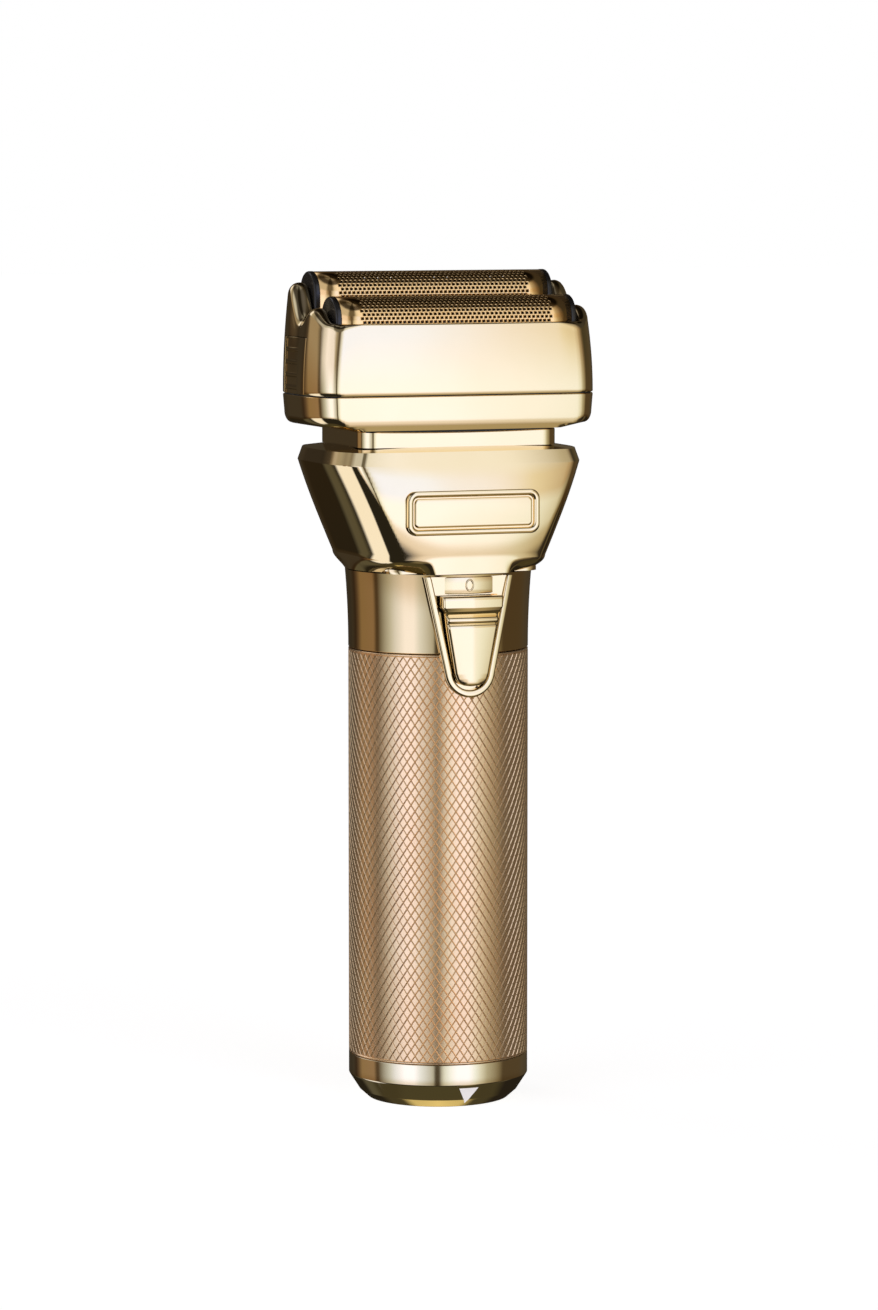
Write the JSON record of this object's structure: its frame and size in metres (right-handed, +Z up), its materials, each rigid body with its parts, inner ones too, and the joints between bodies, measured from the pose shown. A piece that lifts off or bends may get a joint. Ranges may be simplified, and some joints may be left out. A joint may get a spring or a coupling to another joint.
{
  "type": "foil shaver",
  "caption": "Cordless foil shaver with polished gold head, stepped arched foils, tapered neck, thumb slide switch and knurled round grip.",
  "frame": {"origin": "middle of the flat base, on the grip's axis", "axes": "+Z up along the grip to the foils, -Y out of the front with the switch, +X to the right seen from the front"},
  "size_m": [0.06, 0.0398, 0.1637],
  "materials": {
    "polished_gold": "polished",
    "pale_gold": "polished",
    "rose_gold": "satin, knurled",
    "foil_gold": "satin",
    "black_plastic": "gloss",
    "grey_plastic": "matt",
    "steel": "brushed",
    "circuit_board": "matt",
    "battery_wrap": "gloss",
    "black_rubber": "matt",
    "pale_lens": "satin"
  },
  "bodies": {
    "handle": {"base_ring": "pale_gold", "charge_light_lens": "pale_lens", "base_cap": "black_plastic", "charging_socket": "steel", "charging_contact_left": "foil_gold", "charging_contact_right": "foil_gold", "base_board": "circuit_board", "base_o_ring": "black_rubber", "grip_sleeve": "rose_gold", "collar": "pale_gold", "chassis": "grey_plastic", "battery_cell": "battery_wrap", "battery_spring_lower": "steel", "battery_spring_upper": "steel", "control_board": "circuit_board", "slide_switch": "black_plastic", "switch_bezel": "polished_gold", "motor_can": "steel", "motor_plate": "grey_plastic", "motor_screw_left": "steel", "motor_screw_right": "steel", "neck_shell": "polished_gold", "badge": "polished_gold", "head_gasket": "black_rubber", "head_base": "polished_gold", "guide_rod_front": "steel", "guide_rod_rear": "steel"},
    "slider": {"switch_slider": "polished_gold"},
    "cap": {"foil_cap": "polished_gold", "button_spring_left": "steel", "button_spring_right": "steel"},
    "front_foil": {"foil_front": "foil_gold", "foil_frame_front": "black_plastic"},
    "rear_foil": {"foil_rear": "foil_gold", "foil_frame_rear": "black_plastic"},
    "left_button": {"release_button_left": "polished_gold"},
    "right_button": {"release_button_right": "polished_gold"},
    "bridge": {"drive_bridge": "grey_plastic", "cutter_spring_front": "steel", "cutter_spring_rear": "steel"},
    "front_cutter": {"cutter_front": "steel"},
    "rear_cutter": {"cutter_rear": "steel"},
    "rotor": {"motor_rotor": "steel"}
  },
  "joints": [
    {"name": "slider_travel", "type": "slide", "parent": "handle", "child": "slider", "axis": [0, 0, 1], "range_m": [0, 0.0035]},
    {"name": "cap_lift", "type": "slide", "parent": "handle", "child": "cap", "axis": [0, 0, 1], "range_m": [0, 0.03]},
    {"name": "front_foil_float", "type": "slide", "parent": "cap", "child": "front_foil", "axis": [0, 0, -1], "range_m": [0, 0.0012], "stiffness_N_per_m": 300, "springref_m": -0.002},
    {"name": "rear_foil_float", "type": "slide", "parent": "cap", "child": "rear_foil", "axis": [0, 0, -1], "range_m": [0, 0.0012], "stiffness_N_per_m": 300, "springref_m": -0.002},
    {"name": "left_button_press", "type": "slide", "parent": "cap", "child": "left_button", "axis": [1, 0, 0], "range_m": [0, 0.0008], "stiffness_N_per_m": 1500, "springref_m": -0.001},
    {"name": "right_button_press", "type": "slide", "parent": "cap", "child": "right_button", "axis": [-1, 0, 0], "range_m": [0, 0.0008], "stiffness_N_per_m": 1500, "springref_m": -0.001},
    {"name": "bridge_stroke", "type": "slide", "parent": "handle", "child": "bridge", "axis": [1, 0, 0], "range_m": [-0.001, 0.001]},
    {"name": "front_cutter_float", "type": "slide", "parent": "bridge", "child": "front_cutter", "axis": [0, 0, -1], "range_m": [0, 0.0012], "stiffness_N_per_m": 300, "springref_m": -0.002, "deforming": ["cutter_spring_front"]},
    {"name": "rear_cutter_float", "type": "slide", "parent": "bridge", "child": "rear_cutter", "axis": [0, 0, -1], "range_m": [0, 0.0012], "stiffness_N_per_m": 300, "springref_m": -0.002, "deforming": ["cutter_spring_rear"]},
    {"name": "rotor_spin", "type": "hinge", "parent": "handle", "child": "rotor", "pos_m": [0, 0, 0.11], "axis": [0, 0, 1], "continuous": true}
  ],
  "couplings": [
    {"joint": "front_cutter_float", "follows": "front_foil_float", "ratio": 1},
    {"joint": "rear_cutter_float", "follows": "rear_foil_float", "ratio": 1}
  ]
}
